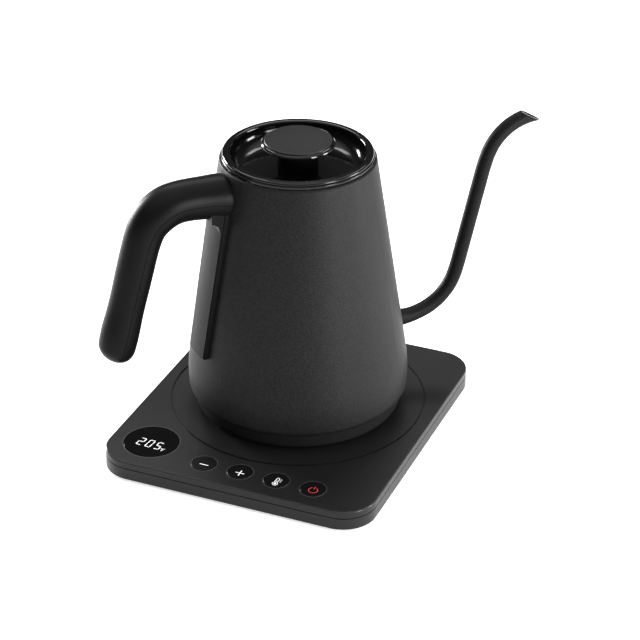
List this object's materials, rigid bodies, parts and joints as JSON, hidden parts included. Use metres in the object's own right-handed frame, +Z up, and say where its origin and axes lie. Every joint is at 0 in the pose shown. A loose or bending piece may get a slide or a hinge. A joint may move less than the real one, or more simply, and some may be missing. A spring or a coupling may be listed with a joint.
{
  "type": "gooseneck kettle",
  "caption": "Electric gooseneck pour-over kettle with a slim curved spout, round handle and lift-off lid, on a flat control base with a display and buttons.",
  "frame": {"origin": "point on the table under the kettle's turning axis", "axes": "+Z up, +X along the control edge to the right, +Y towards the back of the base where the cord comes in"},
  "size_m": [0.2237, 0.2544, 0.2106],
  "materials": {
    "body_paint": "matte fine textured",
    "handle_black": "satin",
    "base_black": "satin",
    "cover_black": "satin",
    "gloss_black": "high gloss",
    "cap_satin": "fine satin",
    "button_black": "satin",
    "lens_smoke": "smoked gloss",
    "rubber_black": "matte",
    "silicone_grey": "matte",
    "steel": "brushed",
    "aluminium": "cast",
    "contact_brass": "plain",
    "board_green": "solder mask",
    "component_grey": "moulded",
    "connector_white": "moulded",
    "legend_white": "printed",
    "legend_red": "printed"
  },
  "bodies": {
    "base": {"base_top_shell": "base_black", "base_bottom_shell": "base_black", "base_feet": "rubber_black", "base_screws": "steel", "base_connector": "cover_black", "connector_contacts": "contact_brass", "display_window": "lens_smoke", "display_module": "connector_white", "control_board": "board_green", "tact_switches": "component_grey", "power_board": "board_green", "power_parts": "component_grey", "ribbon_cable": "silicone_grey", "cord_gland": "rubber_black"},
    "swivel": {"swivel_ring": "connector_white"},
    "kettle": {"kettle_shell": "body_paint", "rim_collar": "gloss_black", "spout_tube": "body_paint", "heating_plate": "steel", "heat_spreader": "aluminium", "heating_element": "aluminium", "heater_leads": "silicone_grey", "temperature_sensor": "steel", "sensor_seal": "silicone_grey", "boil_dry_cutout": "connector_white", "bottom_cover": "cover_black", "bottom_cover_screws": "steel", "kettle_feet": "rubber_black", "kettle_connector": "cover_black", "connector_blades": "contact_brass", "handle_bracket": "steel", "handle_outer_shell": "handle_black", "handle_inner_shell": "handle_black", "handle_mount_cover": "handle_black", "handle_screws": "steel"},
    "lid": {"lid_cover": "gloss_black", "lid_underplate": "steel", "lid_gasket": "silicone_grey", "lid_knob_stem": "gloss_black", "lid_knob_ring": "gloss_black", "lid_knob_cap": "cap_satin", "lid_screw": "steel"},
    "button_minus_body": {"button_minus": "button_black"},
    "button_plus_body": {"button_plus": "button_black"},
    "button_temperature_body": {"button_temperature": "button_black"},
    "button_power_body": {"button_power": "button_black"}
  },
  "joints": [
    {"name": "kettle_swivel", "type": "hinge", "parent": "base", "child": "swivel", "pos_m": [0, 0, 0.017], "axis": [0, 0, 1], "continuous": true},
    {"name": "kettle_lift", "type": "slide", "parent": "swivel", "child": "kettle", "axis": [0, 0, 1], "range_m": [0, 0.08]},
    {"name": "lid_lift", "type": "slide", "parent": "kettle", "child": "lid", "axis": [0, 0, 1], "range_m": [0, 0.08]},
    {"name": "press_minus", "type": "slide", "parent": "base", "child": "button_minus_body", "axis": [0, 0, -1], "range_m": [0, 0.0008], "stiffness_N_per_m": 1500, "springref_m": -0.0003},
    {"name": "press_plus", "type": "slide", "parent": "base", "child": "button_plus_body", "axis": [0, 0, -1], "range_m": [0, 0.0008], "stiffness_N_per_m": 1500, "springref_m": -0.0003},
    {"name": "press_temperature", "type": "slide", "parent": "base", "child": "button_temperature_body", "axis": [0, 0, -1], "range_m": [0, 0.0008], "stiffness_N_per_m": 1500, "springref_m": -0.0003},
    {"name": "press_power", "type": "slide", "parent": "base", "child": "button_power_body", "axis": [0, 0, -1], "range_m": [0, 0.0008], "stiffness_N_per_m": 1500, "springref_m": -0.0003}
  ]
}
